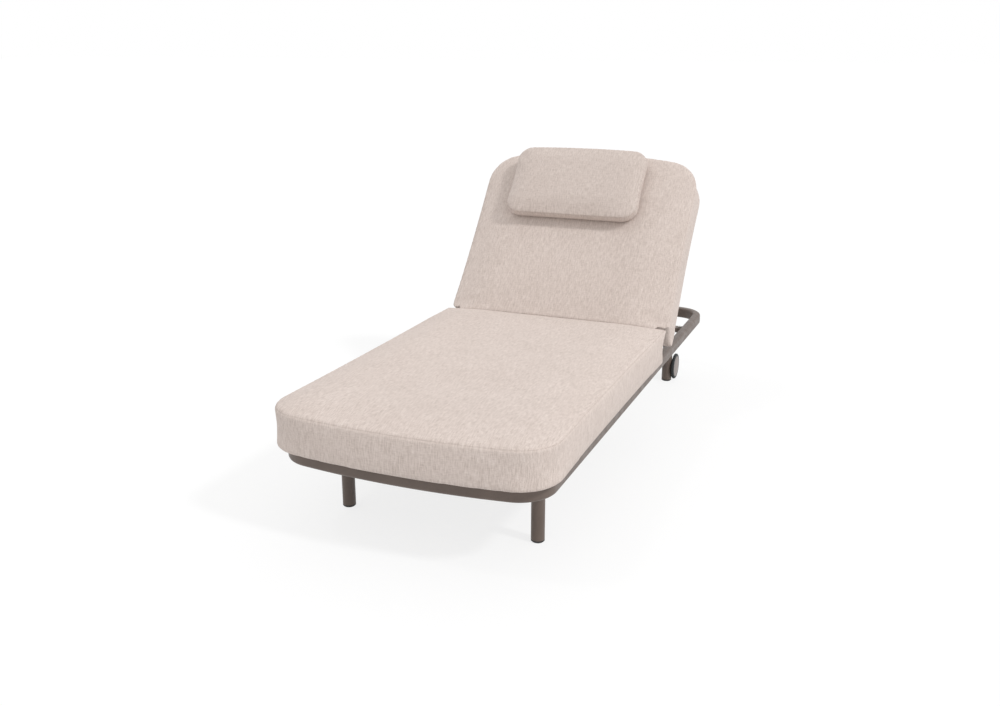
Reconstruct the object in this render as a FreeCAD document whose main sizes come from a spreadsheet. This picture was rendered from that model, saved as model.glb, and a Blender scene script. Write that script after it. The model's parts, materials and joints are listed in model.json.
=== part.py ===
import FreeCAD, Part
import math
import os
import Sketcher
from FreeCAD import Placement, Rotation, Vector

# Sun lounger: a bowed aluminium frame on four legs, webbing deck, hinged back with a prop, thick cushions.
# Millimetres and degrees. +Z is up, +Y points to the head end, +X to the lounger's right seen from its foot.
# The origin is on the floor, under the middle of the overall length and width.

DIMENSIONS = {
    # Frame rail: closed ring, bowed at both ends
    "frame_length": 1970,
    "frame_width": 776,
    "rail_width": 30,
    "rail_height": 40,
    "rail_wall": 2,
    "rail_edge_radius": 9,
    "corner_radius": 105,
    "bow_radius": 2140,
    "rail_underside": 209,
    # Legs, feet and the crossmembers that carry them
    "leg_inset_across": 95,
    "leg_inset_along": 244,
    "leg_diameter": 38,
    "leg_wall": 2,
    "foot_height": 7,
    "foot_edge": 3,
    "foot_spigot": 22,
    "crossmember_width": 38,
    "crossmember_height": 14,
    "crossmember_wall": 2,
    "crossmember_edge_radius": 3,
    "tab_length": 52,
    "tab_width": 34,
    "tab_thickness": 4,
    "bolt_diameter": 8,
    "bolt_head_diameter": 14,
    "bolt_head_height": 5,
    "bolt_inset": 22,
    # Webbing deck
    "strap_width": 70,
    "strap_thickness": 2,
    "strap_end_gap": 1,
    "deck_setback": 20,
    "seat_strap_count": 7,
    "seat_strap_margin": 50,
    "back_strap_count": 4,
    "back_strap_pitch": 140,
    "ledge_width": 20,
    "ledge_height": 20,
    "ledge_thickness": 3,
    # Back frame and its pivots
    "back_tilt": 51,
    "crease_to_rear": 765,
    "back_tube_width": 20,
    "back_tube_height": 23,
    "back_tube_wall": 1.5,
    "back_tube_edge_radius": 4,
    "back_side_gap": 33,
    "back_frame_reach": 590,
    "back_frame_tail": 20,
    "back_bottom_bar_along": 45,
    "pivot_pin_diameter": 12,
    "pivot_pin_tail": 6,
    "bush_wall": 2,
    "bush_flange_diameter": 26,
    "retainer_diameter": 22,
    "retainer_thickness": 3,
    "running_clearance": 0.05,
    "seat_clearance": 0.3,
    # Prop stand and its toothed plates
    "prop_arm": 268,
    "prop_diameter": 14,
    "prop_wall": 1.5,
    "prop_bend_radius": 30,
    "prop_block_size": 22,
    "prop_block_thickness": 16,
    "prop_block_edge": 4,
    "prop_side_gap": 0.5,
    "prop_pin_diameter": 8,
    "prop_pin_head_diameter": 14,
    "prop_pin_head_height": 4,
    "prop_pin_tail": 4,
    "rack_inset": 26,
    "rack_thickness": 8,
    "rack_notch_count": 4,
    "rack_notch_angle": 10,
    "rack_notch_depth": 2.5,
    "rack_notch_width": 18,
    "rack_end_margin": 20,
    "rack_tip_clearance": 0.3,
    # Transport wheels behind the rear legs
    "wheel_diameter": 100,
    "wheel_floor_gap": 2.5,
    "wheel_behind_leg": 30,
    "wheel_width": 11,
    "wheel_side_gap": 1,
    "tyre_depth": 7,
    "tyre_crown": 3,
    "cap_flat_diameter": 30,
    "web_thickness": 5,
    "cap_diameter": 80,
    "cap_thickness": 2,
    "cap_dome": 2,
    "axle_diameter": 10,
    "axle_head_diameter": 20,
    "axle_head_height": 3,
    "axle_nut_height": 7,
    "wheel_bracket_thickness": 6,
    "wheel_bracket_height": 52,
    "wheel_bracket_reach": 22,
    # Cushions
    "front_overhang": 30,
    "cushion_overhang": 20,
    "cushion_height": 140,
    "cushion_crown": 28,
    "cushion_crown_reach": 130,
    "cushion_bottom_round": 18,
    "cushion_front_corner": 115,
    "cushion_end_corner": 15,
    "cushion_draw_in": 4,
    "cushion_end_slant": 42,
    "seat_cushion_setback": 12,
    "cushion_end_gap": 2,
    "back_cushion_length": 677,
    "back_cushion_taper": 5,
    "back_cushion_corner": 120,
    "pillow_width": 500,
    "pillow_length": 290,
    "pillow_height": 58,
    "pillow_crown": 24,
    "pillow_crown_reach": 70,
    "pillow_bottom_round": 16,
    "pillow_corner": 55,
    "pillow_draw_in": 3,
    "pillow_bow_radius": 4000,
    "pillow_offset": -27,
    "pillow_top_inset": 21,
    "tape_width": 50,
    "tape_thickness": 1.5,
    "tape_spacing": 240,
    "loop_tape_length": 150,
    "hook_tape_length": 60,
    "tape_top_inset": 130,
}

doc = FreeCAD.newDocument("sun_lounger")
sheet = doc.addObject("Spreadsheet::Sheet", "Dims")
for row, (alias, number) in enumerate(DIMENSIONS.items(), start=1):
    sheet.set(f"A{row}", str(number))
    sheet.setAlias(f"A{row}", alias)
doc.recompute()

X_AXIS = Vector(1, 0, 0)
Z_AXIS = Vector(0, 0, 1)
SIDES = {"left": -1, "right": 1}
ENDS = {"front": -1, "rear": 1}
ROUND_STEPS = (0, 30, 60, 90)
parts = {}


def formula(text):
    """An expression on the sheet's cells, written with the bare names of the sizes."""
    for alias in sorted(DIMENSIONS, key=len, reverse=True):
        text = text.replace(f"<{alias}>", f"Dims.{alias}")
    return text


def value(text):
    """The number that an expression on the sheet gives now."""
    return float(sheet.evalExpression(formula(text)))


def size(alias):
    return float(sheet.get(alias))


def keep(label, piece, placement=Placement()):
    """Name a finished sub-part and put it in its place."""
    piece.Label = label
    piece.Placement = placement
    parts[label] = piece
    return piece


def at(x, y, z, rotation=Rotation()):
    return Placement(Vector(x, y, z), rotation)


# Places that several pieces share, worked out from the sheet

FRAME_MIDDLE = value("<front_overhang> / 2")
RAIL_TOP = value("<rail_underside> + <rail_height>")
RAIL_MIDDLE = value("<rail_underside> + <rail_height> / 2")
RAIL_INNER = value("<frame_width> / 2 - <rail_width>")
INNER_WIDTH = "<frame_width> - 2 * <rail_width>"
CORNER_ALONG = (
    "(<frame_length> / 2 - <bow_radius>"
    " + sqrt((<bow_radius> - <corner_radius>)^2 - (<frame_width> / 2 - <corner_radius>)^2))"
)
LEG_ACROSS = "(<frame_width> / 2 - <leg_inset_across>)"
LEG_ALONG = "(<frame_length> / 2 - <leg_inset_along>)"
CREASE_ALONG = "(<frame_length> / 2 - <crease_to_rear>)"
DECK_END = f"({CREASE_ALONG} - <deck_setback>)"
SEAT_END = f"({CREASE_ALONG} - <seat_cushion_setback>)"
CROSSMEMBER_TOP = value("<rail_underside> + <crossmember_height>")
CUSHION_BOTTOM = RAIL_TOP + size("seat_clearance")
DECK_UNDERSIDE = RAIL_TOP - size("strap_thickness")
TILT = Rotation(X_AXIS, size("back_tilt"))
UNTILT = Rotation(X_AXIS, -size("back_tilt"))
CREASE = Vector(0, FRAME_MIDDLE + value(CREASE_ALONG), CUSHION_BOTTOM + size("cushion_height"))
PIVOT_HEIGHT = DECK_UNDERSIDE - size("back_tube_height") / 2
PIVOT_BEHIND_CREASE = (CREASE.z - PIVOT_HEIGHT) * math.tan(math.radians(size("back_tilt") / 2))
PIVOT = Vector(0, CREASE.y + PIVOT_BEHIND_CREASE, PIVOT_HEIGHT)
BACK_POSE = Placement(PIVOT, TILT)
CUSHION_POSE = Placement(CREASE, TILT)
BACK_OUTER = RAIL_INNER - size("back_side_gap")
BACK_INNER = BACK_OUTER - size("back_tube_width")
PROP_HINGE = BACK_POSE.multVec(Vector(0, size("prop_arm"), 0))
PROP_POSE = Placement(PROP_HINGE, UNTILT)
PROP_SIDE = BACK_INNER - size("prop_side_gap") - size("prop_block_thickness") / 2


# Sketches and features that repeat

def new_body(label):
    return doc.addObject("PartDesign::Body", label)


def new_sketch(body, plane):
    sketch = body.newObject("Sketcher::SketchObject", f"{body.Name}_sketch")
    origin_plane = next(item for item in body.Origin.OriginFeatures if item.Role == plane)
    sketch.AttachmentSupport = (origin_plane, "")
    sketch.MapMode = "FlatFace"
    return sketch


def bind(sketch, kind, *arguments):
    """Add a dimension to a sketch and tie it to the sheet: the last argument is its expression."""
    *places, text = arguments
    index = sketch.addConstraint(Sketcher.Constraint(kind, *places, value(text)))
    sketch.setExpression(f"Constraints[{index}]", formula(text))


def draw_polygon(sketch, points):
    """A closed outline of straight lines through points given as pairs of expressions."""
    corners = [Vector(value(x), value(y), 0) for x, y in points]
    count = len(points)
    for index in range(count):
        sketch.addGeometry(Part.LineSegment(corners[index], corners[(index + 1) % count]))
    for index in range(count):
        sketch.addConstraint(Sketcher.Constraint("Coincident", index, 2, (index + 1) % count, 1))
    for index, (x, y) in enumerate(points):
        bind(sketch, "DistanceX", -1, 1, index, 1, x)
        bind(sketch, "DistanceY", -1, 1, index, 1, y)


def draw_circle(sketch, diameter, x="0", y="0"):
    middle = Vector(value(x), value(y), 0)
    index = sketch.addGeometry(Part.Circle(middle, Z_AXIS, value(diameter) / 2))
    bind(sketch, "Diameter", index, diameter)
    bind(sketch, "DistanceX", -1, 1, index, 3, x)
    bind(sketch, "DistanceY", -1, 1, index, 3, y)


def draw_rounded_box(sketch, width, height, radius):
    """A rectangle with round corners, centred on the sketch's origin."""
    half_w = value(width) / 2
    half_h = value(height) / 2
    r = value(radius)
    first = sketch.GeometryCount
    ends = [
        (Vector(-half_w + r, -half_h, 0), Vector(half_w - r, -half_h, 0)),
        (Vector(half_w, -half_h + r, 0), Vector(half_w, half_h - r, 0)),
        (Vector(half_w - r, half_h, 0), Vector(-half_w + r, half_h, 0)),
        (Vector(-half_w, half_h - r, 0), Vector(-half_w, -half_h + r, 0)),
    ]
    middles = [Vector(half_w - r, -half_h + r, 0), Vector(half_w - r, half_h - r, 0)]
    middles += [-middles[0], -middles[1]]
    for side, (start, end) in enumerate(ends):
        sketch.addGeometry(Part.LineSegment(start, end))
        turn = math.radians(90 * (side - 1))
        sketch.addGeometry(Part.ArcOfCircle(Part.Circle(middles[side], Z_AXIS, r), turn, turn + math.pi / 2))
    lines = [first + 2 * side for side in range(4)]
    arcs = [first + 2 * side + 1 for side in range(4)]
    for side in range(4):
        sketch.addConstraint(Sketcher.Constraint("Tangent", lines[side], 2, arcs[side], 1))
        sketch.addConstraint(Sketcher.Constraint("Tangent", arcs[side], 2, lines[(side + 1) % 4], 1))
        sketch.addConstraint(Sketcher.Constraint("Vertical" if side % 2 else "Horizontal", lines[side]))
    for side in range(1, 4):
        sketch.addConstraint(Sketcher.Constraint("Equal", arcs[0], arcs[side]))
    sketch.addConstraint(Sketcher.Constraint("Symmetric", arcs[0], 3, arcs[2], 3, -1, 1))
    bind(sketch, "Radius", arcs[0], radius)
    bind(sketch, "DistanceX", lines[3], 1, lines[1], 1, width)
    bind(sketch, "DistanceY", lines[0], 1, lines[2], 1, height)


def draw_box_tube(sketch, width, height, wall, radius):
    draw_rounded_box(sketch, width, height, radius)
    draw_rounded_box(sketch, f"{width} - 2 * {wall}", f"{height} - 2 * {wall}", f"{radius} - {wall}")


def draw_round_tube(sketch, diameter, wall):
    draw_circle(sketch, diameter)
    draw_circle(sketch, f"{diameter} - 2 * {wall}")


def pad(body, sketch, length):
    """Extrude a sketch to both sides of its plane alike."""
    feature = body.newObject("PartDesign::Pad", f"{body.Name}_pad")
    feature.Profile = sketch
    feature.SideType = "Symmetric"
    feature.setExpression("Length", formula(length))
    sketch.Visibility = False
    return feature


def padded(label, plane, length, draw, *sizes):
    body = new_body(label)
    sketch = new_sketch(body, plane)
    draw(sketch, *sizes)
    pad(body, sketch, length)
    return body


def bore(body, plane, diameter, depth, x="0", y="0"):
    """Drill a round hole through both walls of a body, square to one of its planes."""
    sketch = new_sketch(body, plane)
    draw_circle(sketch, diameter, x, y)
    doc.recompute()
    before = body.Shape.Volume
    feature = body.newObject("PartDesign::Pocket", f"{body.Name}_bore")
    feature.Profile = sketch
    feature.SideType = "Symmetric"
    feature.setExpression("Length", formula(depth))
    doc.recompute()
    if body.Shape.Volume >= before:
        raise ValueError(f"the bore in {body.Label} cuts nothing")


def turned(label, axis, points):
    """Revolve a closed outline, drawn in the XZ plane, about that sketch's H_Axis or V_Axis."""
    body = new_body(label)
    sketch = new_sketch(body, "XZ_Plane")
    draw_polygon(sketch, points)
    feature = body.newObject("PartDesign::Revolution", f"{body.Name}_turn")
    feature.Profile = sketch
    feature.ReferenceAxis = (sketch, [axis])
    feature.Angle = 360
    return body


def swept(label, draw_path, start, draw, *sizes):
    """Sweep a section along a path in the XY plane: the path starts along Y at the given point."""
    body = new_body(label)
    path = new_sketch(body, "XY_Plane")
    draw_path(path)
    section = new_sketch(body, "XZ_Plane")
    draw(section, *sizes)
    section.AttachmentOffset = start
    feature = body.newObject("PartDesign::AdditivePipe", f"{body.Name}_sweep")
    feature.Profile = section
    feature.Spine = (path, [f"Edge{index + 1}" for index in range(path.GeometryCount)])
    return body


def group(label, pieces):
    """Several separate solids of one kind that share a name."""
    compound = doc.addObject("Part::Compound", label)
    compound.Links = pieces
    return compound


# Frame rails

RAIL_SECTION = ("<rail_width>", "<rail_height>", "<rail_wall>", "<rail_edge_radius>")
CROSSMEMBER_SECTION = (
    "<crossmember_width>",
    "<crossmember_height>",
    "<crossmember_wall>",
    "<crossmember_edge_radius>",
)


def draw_bow_path(sketch):
    """Middle line of an end rail: corner, shallow bow, corner, all tangent."""
    half = value("<frame_width> / 2 - <rail_width> / 2")
    corner = value("<corner_radius> - <rail_width> / 2")
    bow = value("<bow_radius> - <rail_width> / 2")
    corner_y = value(CORNER_ALONG)
    bow_y = value("<frame_length> / 2 - <bow_radius>")
    lean = math.atan2(corner_y - bow_y, half - corner)
    right = Part.Circle(Vector(half - corner, corner_y, 0), Z_AXIS, corner)
    middle = Part.Circle(Vector(0, bow_y, 0), Z_AXIS, bow)
    left = Part.Circle(Vector(corner - half, corner_y, 0), Z_AXIS, corner)
    sketch.addGeometry(Part.ArcOfCircle(right, 0, lean))
    sketch.addGeometry(Part.ArcOfCircle(middle, lean, math.pi - lean))
    sketch.addGeometry(Part.ArcOfCircle(left, math.pi - lean, math.pi))
    sketch.addConstraint(Sketcher.Constraint("Tangent", 0, 2, 1, 1))
    sketch.addConstraint(Sketcher.Constraint("Tangent", 1, 2, 2, 1))
    sketch.addConstraint(Sketcher.Constraint("Horizontal", 0, 1, 0, 3))
    sketch.addConstraint(Sketcher.Constraint("Horizontal", 2, 2, 2, 3))
    sketch.addConstraint(Sketcher.Constraint("Symmetric", 0, 1, 2, 2, -2))
    bind(sketch, "Radius", 0, "<corner_radius> - <rail_width> / 2")
    bind(sketch, "Radius", 1, "<bow_radius> - <rail_width> / 2")
    bind(sketch, "DistanceX", -1, 1, 0, 1, "<frame_width> / 2 - <rail_width> / 2")
    bind(sketch, "DistanceY", -1, 1, 0, 3, CORNER_ALONG)


def make_rails():
    start = at(value("<frame_width> / 2 - <rail_width> / 2"), 0, -value(CORNER_ALONG))
    for end, turn in (("front", 180), ("rear", 0)):
        rail = swept(f"{end}_rail", draw_bow_path, start, draw_box_tube, *RAIL_SECTION)
        keep(f"{end}_rail", rail, at(0, FRAME_MIDDLE, RAIL_MIDDLE, Rotation(Z_AXIS, turn)))
    side_x = value("<frame_width> / 2 - <rail_width> / 2")
    for side, sign in SIDES.items():
        rail = padded(f"{side}_side_rail", "XZ_Plane", f"2 * {CORNER_ALONG}", draw_box_tube, *RAIL_SECTION)
        keep(f"{side}_side_rail", rail, at(sign * side_x, FRAME_MIDDLE, RAIL_MIDDLE))


# Crossmembers, legs and feet

def make_crossmembers():
    middle = value("<rail_underside> + <crossmember_height> / 2")
    bolt_x = value("<frame_width> / 2 - <rail_width> - <bolt_inset>")
    tab_x = value("<frame_width> / 2 - <rail_width> / 2 - <tab_length> / 2")
    tab_z = value("<rail_underside> - <tab_thickness> / 2")
    bolts = []
    tabs = []
    for end, sign in ENDS.items():
        along = FRAME_MIDDLE + sign * value(LEG_ALONG)
        beam = padded(f"{end}_crossmember", "YZ_Plane", INNER_WIDTH, draw_box_tube, *CROSSMEMBER_SECTION)
        hole = "<bolt_diameter> + 2 * <running_clearance>"
        for side in SIDES.values():
            offset = f"{side} * (<frame_width> / 2 - <rail_width> - <bolt_inset>)"
            bore(beam, "XY_Plane", hole, "2 * <crossmember_height>", offset)
            bolts.append(make_bolt(at(side * bolt_x, along, CROSSMEMBER_TOP)))
            tabs.append(make_tab(side, at(side * tab_x, along, tab_z)))
        keep(f"{end}_crossmember", beam, at(0, along, middle))
    keep("crossmember_bolts", group("crossmember_bolts", bolts))
    keep("rail_tabs", group("rail_tabs", tabs))


def make_bolt(place):
    """Bolt through a crossmember and its tab, with a low head on top and a nut below."""
    radius = "<bolt_diameter> / 2"
    head = "<bolt_head_diameter> / 2"
    nut_top = "-<crossmember_height> - <tab_thickness>"
    points = [
        ("0", f"{nut_top} - <bolt_head_height>"),
        (head, f"{nut_top} - <bolt_head_height>"),
        (head, nut_top),
        (radius, nut_top),
        (radius, "0"),
        (head, "0"),
        (head, "<bolt_head_height> / 2"),
        (radius, "<bolt_head_height>"),
        ("0", "<bolt_head_height>"),
    ]
    bolt = turned("crossmember_bolt", "V_Axis", points)
    bolt.Placement = place
    return bolt


def make_tab(side, place):
    """Flat tab under a rail that carries the end of a crossmember."""
    tab = padded("rail_tab", "XY_Plane", "<tab_thickness>", draw_rounded_box,
                 "<tab_length>", "<tab_width>", "<bolt_diameter> / 2")
    hole = "<bolt_diameter> + 2 * <running_clearance>"
    offset = f"{side} * (<tab_length> / 2 - <rail_width> / 2 - <bolt_inset>)"
    bore(tab, "XY_Plane", hole, "2 * <tab_thickness>", offset)
    tab.Placement = place
    return tab


def make_legs():
    leg_middle = value("(<rail_underside> + <foot_height>) / 2")
    outer = "<leg_diameter> / 2"
    inner = "<leg_diameter> / 2 - <leg_wall> - <running_clearance>"
    foot_outline = [
        ("0", "0"),
        (f"{outer} - <foot_edge>", "0"),
        (outer, "<foot_edge>"),
        (outer, "<foot_height>"),
        (inner, "<foot_height>"),
        (inner, "<foot_height> + <foot_spigot>"),
        ("0", "<foot_height> + <foot_spigot>"),
    ]
    for end, end_sign in ENDS.items():
        for side, side_sign in SIDES.items():
            x = side_sign * value(LEG_ACROSS)
            y = FRAME_MIDDLE + end_sign * value(LEG_ALONG)
            leg = padded(f"{end}_{side}_leg", "XY_Plane", "<rail_underside> - <foot_height>",
                         draw_round_tube, "<leg_diameter>", "<leg_wall>")
            keep(f"{end}_{side}_leg", leg, at(x, y, leg_middle))
            foot = turned(f"{end}_{side}_foot", "V_Axis", foot_outline)
            keep(f"{end}_{side}_foot", foot, at(x, y, 0))


# Webbing deck under the seat

def make_seat_deck():
    front = FRAME_MIDDLE - value(CORNER_ALONG)
    rear = FRAME_MIDDLE + value(DECK_END)
    length = f"{CORNER_ALONG} + {DECK_END}"
    for side, sign in SIDES.items():
        angle = [
            ("0", "0"),
            (f"{-sign} * <ledge_width>", "0"),
            (f"{-sign} * <ledge_width>", "-<ledge_thickness>"),
            (f"{-sign} * <ledge_thickness>", "-<ledge_thickness>"),
            (f"{-sign} * <ledge_thickness>", "-<ledge_height>"),
            ("0", "-<ledge_height>"),
        ]
        ledge = padded(f"{side}_ledge", "XZ_Plane", length, draw_polygon, angle)
        keep(f"{side}_ledge", ledge, at(sign * RAIL_INNER, (front + rear) / 2, DECK_UNDERSIDE))
    count = int(size("seat_strap_count"))
    first = front + size("seat_strap_margin")
    pitch = (rear - size("seat_strap_margin") - first) / (count - 1)
    for index in range(count):
        strap = make_strap(f"seat_strap_{index + 1}", f"{INNER_WIDTH} - 2 * <strap_end_gap>")
        place = at(0, first + index * pitch, RAIL_TOP - size("strap_thickness") / 2)
        keep(f"seat_strap_{index + 1}", strap, place)


def make_strap(label, length):
    return padded(label, "XY_Plane", "<strap_thickness>", draw_rounded_box,
                  length, "<strap_width>", "<strap_thickness>")


# Hinged back frame, drawn lying flat about its pivot and then tilted

BACK_SECTION = ("<back_tube_width>", "<back_tube_height>", "<back_tube_wall>", "<back_tube_edge_radius>")
BACK_CLEAR_WIDTH = f"{INNER_WIDTH} - 2 * <back_side_gap> - 2 * <back_tube_width>"


def make_back_frame():
    length = "<back_frame_reach> + <back_frame_tail>"
    middle = value("(<back_frame_reach> - <back_frame_tail>) / 2")
    pivot_offset = "-(<back_frame_reach> - <back_frame_tail>) / 2"
    prop_offset = "<prop_arm> - (<back_frame_reach> - <back_frame_tail>) / 2"
    bush_hole = "<pivot_pin_diameter> + 2 * <bush_wall> + 4 * <running_clearance>"
    pin_hole = "<prop_pin_diameter> + 2 * <running_clearance>"
    for side, sign in SIDES.items():
        tube = padded(f"back_{side}_tube", "XZ_Plane", length, draw_box_tube, *BACK_SECTION)
        bore(tube, "YZ_Plane", bush_hole, "2 * <back_tube_width>", pivot_offset)
        bore(tube, "YZ_Plane", pin_hole, "2 * <back_tube_width>", prop_offset)
        place = BACK_POSE * at(sign * (BACK_OUTER + BACK_INNER) / 2, middle, 0)
        keep(f"back_{side}_tube", tube, place)
    bars = {
        "back_bottom_bar": size("back_bottom_bar_along"),
        "back_top_bar": value("<back_frame_reach> - <back_tube_width> / 2"),
    }
    for label, along in bars.items():
        bar = padded(label, "YZ_Plane", BACK_CLEAR_WIDTH, draw_box_tube, *BACK_SECTION)
        keep(label, bar, BACK_POSE * at(0, along, 0))
    # The straps lie evenly to both sides of the prop's hinge blocks, which swing between the middle two
    count = int(size("back_strap_count"))
    lift = value("(<back_tube_height> + <strap_thickness>) / 2")
    for index in range(count):
        strap = make_strap(f"back_strap_{index + 1}", f"{INNER_WIDTH} - 2 * <back_side_gap>")
        along = size("prop_arm") + (index - (count - 1) / 2) * size("back_strap_pitch")
        keep(f"back_strap_{index + 1}", strap, BACK_POSE * at(0, along, lift))


def make_pivots():
    """Pins on the side rails, flanged bushes in the back frame and the rings that keep it on."""
    pin_radius = "<pivot_pin_diameter> / 2"
    bush_inner = f"{pin_radius} + <running_clearance>"
    bush_outer = f"{bush_inner} + <bush_wall>"
    flange_end = "<back_side_gap> - <seat_clearance>"
    pin_length = "<back_side_gap> + <back_tube_width> + <retainer_thickness> + <pivot_pin_tail>"
    rings = []
    for side, sign in SIDES.items():
        pin = padded(f"{side}_pivot_pin", "YZ_Plane", pin_length, draw_circle, "<pivot_pin_diameter>")
        keep(f"{side}_pivot_pin", pin, at(sign * (RAIL_INNER - value(pin_length) / 2), PIVOT.y, PIVOT.z))
        bush = turned(f"{side}_pivot_bush", "H_Axis", [
            (f"{-sign} * <back_tube_width>", bush_inner),
            (f"{-sign} * <back_tube_width>", bush_outer),
            ("0", bush_outer),
            ("0", "<bush_flange_diameter> / 2"),
            (f"{sign} * ({flange_end})", "<bush_flange_diameter> / 2"),
            (f"{sign} * ({flange_end})", bush_inner),
        ])
        keep(f"{side}_pivot_bush", bush, BACK_POSE * at(sign * BACK_OUTER, 0, 0))
        ring = padded("pivot_ring", "YZ_Plane", "<retainer_thickness>", draw_ring,
                      "<retainer_diameter>", "<pivot_pin_diameter> + 2 * <running_clearance>")
        ring_x = BACK_INNER - size("seat_clearance") - size("retainer_thickness") / 2
        ring.Placement = at(sign * ring_x, PIVOT.y, PIVOT.z)
        rings.append(ring)
    keep("pivot_rings", group("pivot_rings", rings))


def draw_ring(sketch, outer, inner):
    draw_circle(sketch, outer)
    draw_circle(sketch, inner)


# Prop stand: a bent tube that swings on the back frame, as long as its distance from the back's pivot

PROP_HALF = (
    "(<frame_width> / 2 - <rail_width> - <back_side_gap> - <back_tube_width>"
    " - <prop_side_gap> - <prop_block_thickness> / 2)"
)


def draw_prop_path(sketch):
    """U from one hinge block to the other: leg, bend, foot bar, bend, leg."""
    half = value(PROP_HALF)
    start = value("<prop_block_size> / 2")
    reach = size("prop_arm")
    bend = size("prop_bend_radius")
    right = Part.Circle(Vector(half - bend, reach - bend, 0), Z_AXIS, bend)
    left = Part.Circle(Vector(bend - half, reach - bend, 0), Z_AXIS, bend)
    sketch.addGeometry(Part.LineSegment(Vector(half, start, 0), Vector(half, reach - bend, 0)))
    sketch.addGeometry(Part.ArcOfCircle(right, 0, math.pi / 2))
    sketch.addGeometry(Part.LineSegment(Vector(half - bend, reach, 0), Vector(bend - half, reach, 0)))
    sketch.addGeometry(Part.ArcOfCircle(left, math.pi / 2, math.pi))
    sketch.addGeometry(Part.LineSegment(Vector(-half, reach - bend, 0), Vector(-half, start, 0)))
    for index in range(4):
        sketch.addConstraint(Sketcher.Constraint("Tangent", index, 2, index + 1, 1))
    sketch.addConstraint(Sketcher.Constraint("Vertical", 0))
    sketch.addConstraint(Sketcher.Constraint("Equal", 1, 3))
    sketch.addConstraint(Sketcher.Constraint("Symmetric", 0, 1, 4, 2, -2))
    bind(sketch, "Radius", 1, "<prop_bend_radius>")
    bind(sketch, "DistanceX", -1, 1, 0, 1, PROP_HALF)
    bind(sketch, "DistanceY", -1, 1, 0, 1, "<prop_block_size> / 2")
    bind(sketch, "DistanceY", -1, 1, 2, 1, "<prop_arm>")
    bind(sketch, "DistanceY", -1, 1, 2, 2, "<prop_arm>")


def make_prop():
    start = at(value(PROP_HALF), 0, -value("<prop_block_size> / 2"))
    tube = swept("prop_tube", draw_prop_path, start, draw_round_tube, "<prop_diameter>", "<prop_wall>")
    keep("prop_tube", tube, PROP_POSE)
    pins = []
    bore_size = "<prop_pin_diameter> + 2 * <running_clearance>"
    for side, sign in SIDES.items():
        block = padded(f"prop_{side}_block", "YZ_Plane", "<prop_block_thickness>", draw_rounded_box,
                       "<prop_block_size>", "<prop_block_size>", "<prop_block_edge>")
        bore(block, "YZ_Plane", bore_size, "2 * <prop_block_thickness>")
        keep(f"prop_{side}_block", block, PROP_POSE * at(sign * PROP_SIDE, 0, 0))
        pins.append(make_prop_pin(sign))
    keep("prop_pins", group("prop_pins", pins))


def make_prop_pin(sign):
    """Headed pin from outside the back tube, through it and the prop's hinge block."""
    radius = "<prop_pin_diameter> / 2"
    head = "<prop_pin_head_diameter> / 2"
    tail = "<back_tube_width> + <prop_side_gap> + <prop_block_thickness> + <prop_pin_tail>"
    pin = turned("prop_pin", "H_Axis", [
        (f"{-sign} * ({tail})", "0"),
        (f"{-sign} * ({tail})", radius),
        ("0", radius),
        ("0", head),
        (f"{sign} * <prop_pin_head_height>", head),
        (f"{sign} * <prop_pin_head_height>", "0"),
    ])
    pin.Placement = BACK_POSE * at(sign * BACK_OUTER, size("prop_arm"), 0)
    return pin


def make_racks():
    """Toothed plates that straddle the rear crossmember: the prop's foot bar rides along their tips."""
    beam = FRAME_MIDDLE + value(LEG_ALONG) - PIVOT.y
    tip = "-<prop_diameter> / 2 - <rack_tip_clearance>"
    low = f"{size('rail_underside') - PIVOT.z}"
    top = f"{CROSSMEMBER_TOP - PIVOT.z}"
    front_face = f"{beam} - <crossmember_width> / 2"
    rear_face = f"{beam} + <crossmember_width> / 2"
    count = int(size("rack_notch_count"))
    places = [f"2 * <prop_arm> * cos(<back_tilt> - {index} * <rack_notch_angle>)" for index in range(count)]
    front_end = f"min({places[0]}; {front_face}) - <rack_end_margin>"
    rear_end = f"max({places[-1]}; {rear_face}) + <rack_end_margin>"
    outline = [
        (front_end, low),
        (front_face, low),
        (front_face, top),
        (rear_face, top),
        (rear_face, low),
        (rear_end, low),
        (rear_end, tip),
    ]
    for along in reversed(places):
        outline.append((f"{along} + <rack_notch_width> / 2", tip))
        outline.append((along, f"{tip} - <rack_notch_depth>"))
        outline.append((f"{along} - <rack_notch_width> / 2", tip))
    outline.append((front_end, tip))
    for side, sign in SIDES.items():
        rack = padded(f"{side}_rack", "YZ_Plane", "<rack_thickness>", draw_polygon, outline)
        across = value(f"{PROP_HALF} - <prop_bend_radius> - <rack_inset>")
        keep(f"{side}_rack", rack, at(sign * across, PIVOT.y, PIVOT.z))


# Transport wheels

def make_wheels():
    leg_x = value(LEG_ACROSS)
    bracket_inner = leg_x + size("leg_diameter") / 2 - size("wheel_bracket_thickness")
    along = FRAME_MIDDLE + value(f"{LEG_ALONG} + <wheel_behind_leg>")
    height = value("<wheel_diameter> / 2 + <wheel_floor_gap>")
    for side, sign in SIDES.items():
        face = sign * (bracket_inner + size("wheel_bracket_thickness"))
        inner_face = at(face + sign * size("wheel_side_gap"), along, height)
        keep(f"{side}_wheel_core", make_core(side, sign), inner_face)
        keep(f"{side}_wheel_tyre", make_tyre(side, sign), inner_face)
        keep(f"{side}_wheel_cap", make_cap(side, sign), inner_face)
        keep(f"{side}_wheel_axle", make_axle(side, sign), at(face, along, height))
        keep(f"{side}_wheel_bracket", make_bracket(side, sign * bracket_inner, sign, along, height))


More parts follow.
